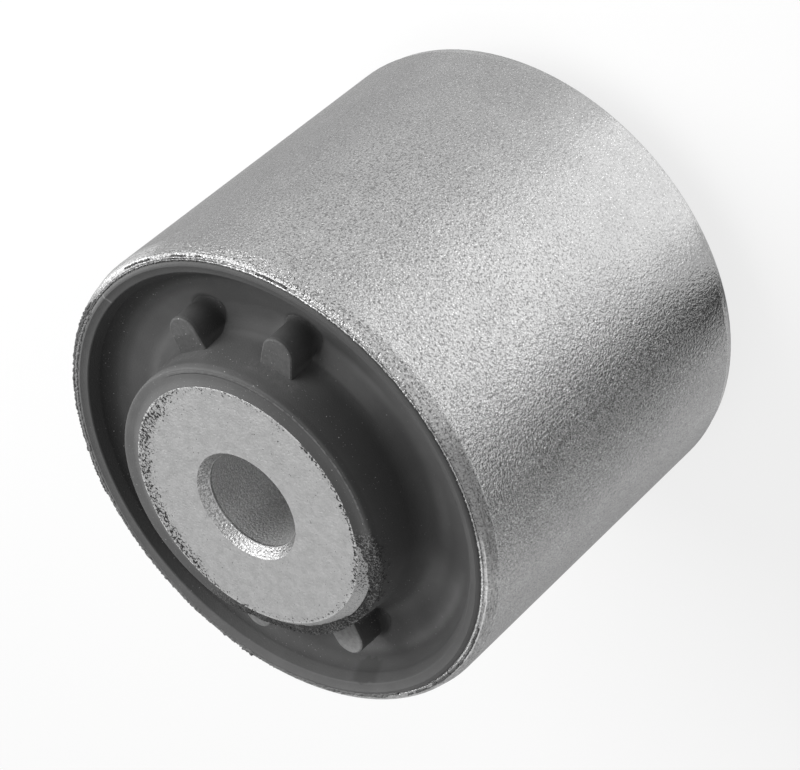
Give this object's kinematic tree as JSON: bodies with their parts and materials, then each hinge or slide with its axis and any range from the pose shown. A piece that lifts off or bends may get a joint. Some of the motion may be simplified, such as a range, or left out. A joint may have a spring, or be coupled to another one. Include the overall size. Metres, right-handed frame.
{
  "type": "differential mount",
  "caption": "Round bonded rubber and metal mount: a bored inner core held in a dished, ribbed rubber element inside a press-in outer sleeve.",
  "frame": {"origin": "centre of the inner core's lower end face, at the bottom of the mount", "axes": "+Z along the bore axis towards the end with the torn collar; +X between the two ribs of one pair"},
  "size_m": [0.07, 0.07, 0.0695],
  "materials": {
    "sleeve_steel": "shot-blasted, zinc-coated steel with an orange-peel grain",
    "moulded_rubber": "satin moulded rubber",
    "core_alloy": "blasted aluminium with fine speckle"
  },
  "bodies": {
    "root": {"outer_sleeve": "sleeve_steel", "rubber_element": "moulded_rubber", "inner_core": "core_alloy"}
  },
  "joints": []
}
